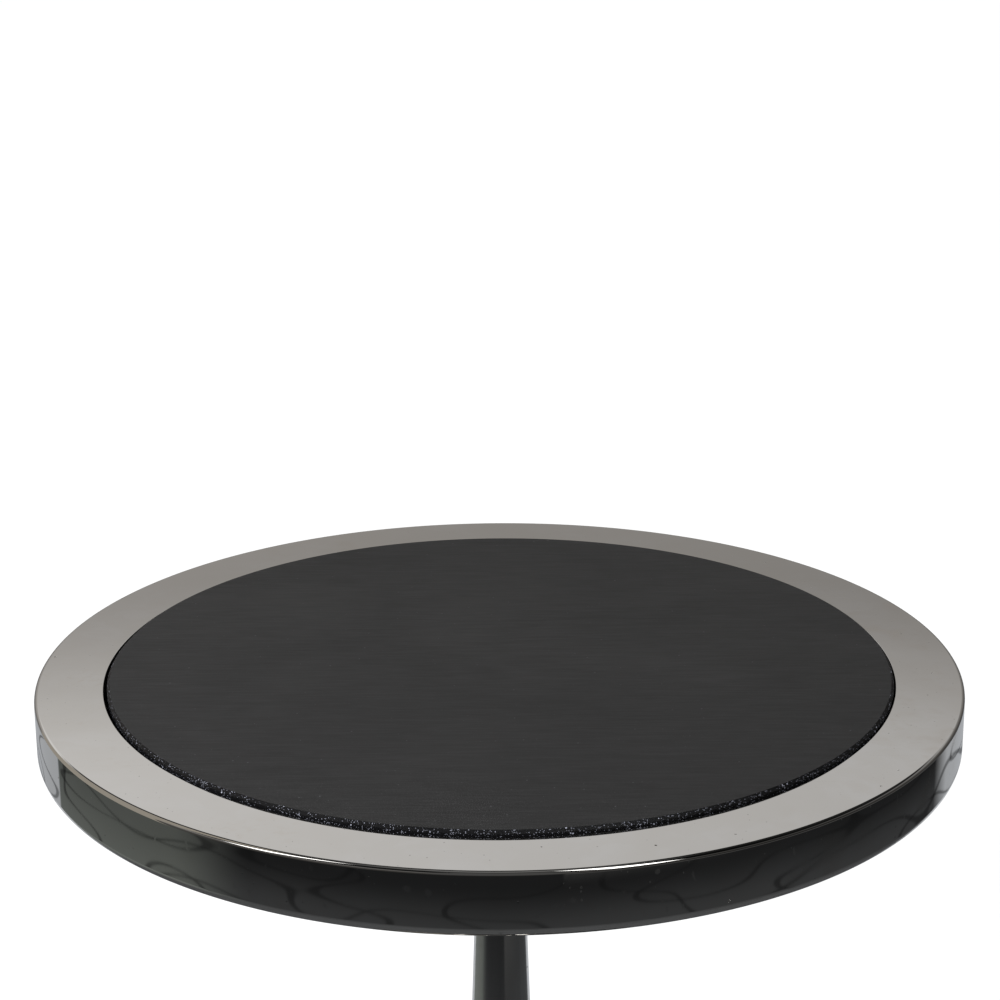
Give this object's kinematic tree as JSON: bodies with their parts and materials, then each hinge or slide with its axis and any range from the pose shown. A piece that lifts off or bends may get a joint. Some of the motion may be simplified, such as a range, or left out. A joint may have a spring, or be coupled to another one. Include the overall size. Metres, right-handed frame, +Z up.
{
  "type": "pedestal table",
  "caption": "Round pedestal side table with a loose black stone disc set in a polished metal rim, on a tapered column and a weighted domed foot with levelling glides.",
  "frame": {"origin": "on the floor, on the column's axis", "axes": "+Z up along the column; X and Y level, with the levelling glides on the diagonals"},
  "size_m": [0.4572, 0.4572, 0.5613],
  "materials": {
    "polished_nickel": "polished",
    "black_stone": "satin",
    "core_board": "matte",
    "black_board": "matte",
    "black_steel": "satin",
    "zinc_steel": "satin",
    "blackened_screw": "satin",
    "cast_iron": "matte",
    "black_rubber": "matte",
    "black_nylon": "matte",
    "felt": "matte"
  },
  "bodies": {
    "table": {"rim_shell": "polished_nickel", "stone_bumpers": "black_rubber", "ledge_screws": "zinc_steel", "top_core": "core_board", "hub_nut": "zinc_steel", "mounting_plate": "black_steel", "mounting_screws": "zinc_steel", "backing_panel": "black_board", "backing_screws": "blackened_screw", "top_collar": "polished_nickel", "column_shell": "polished_nickel", "rod_guide": "black_nylon", "bead_ring": "polished_nickel", "tie_rod": "zinc_steel", "base_shell": "polished_nickel", "ballast": "cast_iron", "base_plate": "black_steel", "base_plate_screws": "blackened_screw", "tie_rod_washer": "zinc_steel", "tie_rod_spring_washer": "zinc_steel", "tie_rod_nut": "zinc_steel", "glide_nuts": "zinc_steel"},
    "stone": {"stone_inset": "black_stone"},
    "glide_1": {"glide_1_pad": "black_nylon", "glide_1_felt": "felt"},
    "glide_1_screw": {"glide_1_stud": "zinc_steel"},
    "glide_2": {"glide_2_pad": "black_nylon", "glide_2_felt": "felt"},
    "glide_2_screw": {"glide_2_stud": "zinc_steel"},
    "glide_3": {"glide_3_pad": "black_nylon", "glide_3_felt": "felt"},
    "glide_3_screw": {"glide_3_stud": "zinc_steel"},
    "glide_4": {"glide_4_pad": "black_nylon", "glide_4_felt": "felt"},
    "glide_4_screw": {"glide_4_stud": "zinc_steel"}
  },
  "joints": [
    {"name": "stone_lift", "type": "slide", "parent": "table", "child": "stone", "axis": [0, 0, 1], "range_m": [0, 0.05]},
    {"name": "glide_1_height", "type": "slide", "parent": "table", "child": "glide_1", "axis": [0, 0, -1], "range_m": [0, 0.006]},
    {"name": "glide_1_turn", "type": "hinge", "parent": "glide_1", "child": "glide_1_screw", "pos_m": [0.0792, 0.0792, 0.011], "axis": [0, 0, -1], "range_deg": [0, 1730]},
    {"name": "glide_2_height", "type": "slide", "parent": "table", "child": "glide_2", "axis": [0, 0, -1], "range_m": [0, 0.006]},
    {"name": "glide_2_turn", "type": "hinge", "parent": "glide_2", "child": "glide_2_screw", "pos_m": [-0.0792, 0.0792, 0.011], "axis": [0, 0, -1], "range_deg": [0, 1730]},
    {"name": "glide_3_height", "type": "slide", "parent": "table", "child": "glide_3", "axis": [0, 0, -1], "range_m": [0, 0.006]},
    {"name": "glide_3_turn", "type": "hinge", "parent": "glide_3", "child": "glide_3_screw", "pos_m": [-0.0792, -0.0792, 0.011], "axis": [0, 0, -1], "range_deg": [0, 1730]},
    {"name": "glide_4_height", "type": "slide", "parent": "table", "child": "glide_4", "axis": [0, 0, -1], "range_m": [0, 0.006]},
    {"name": "glide_4_turn", "type": "hinge", "parent": "glide_4", "child": "glide_4_screw", "pos_m": [0.0792, -0.0792, 0.011], "axis": [0, 0, -1], "range_deg": [0, 1730]}
  ],
  "couplings": [
    {"joint": "glide_1_turn", "follows": "glide_1_height", "rad_per_m": 5026.5},
    {"joint": "glide_2_turn", "follows": "glide_2_height", "rad_per_m": 5026.5},
    {"joint": "glide_3_turn", "follows": "glide_3_height", "rad_per_m": 5026.5},
    {"joint": "glide_4_turn", "follows": "glide_4_height", "rad_per_m": 5026.5}
  ]
}
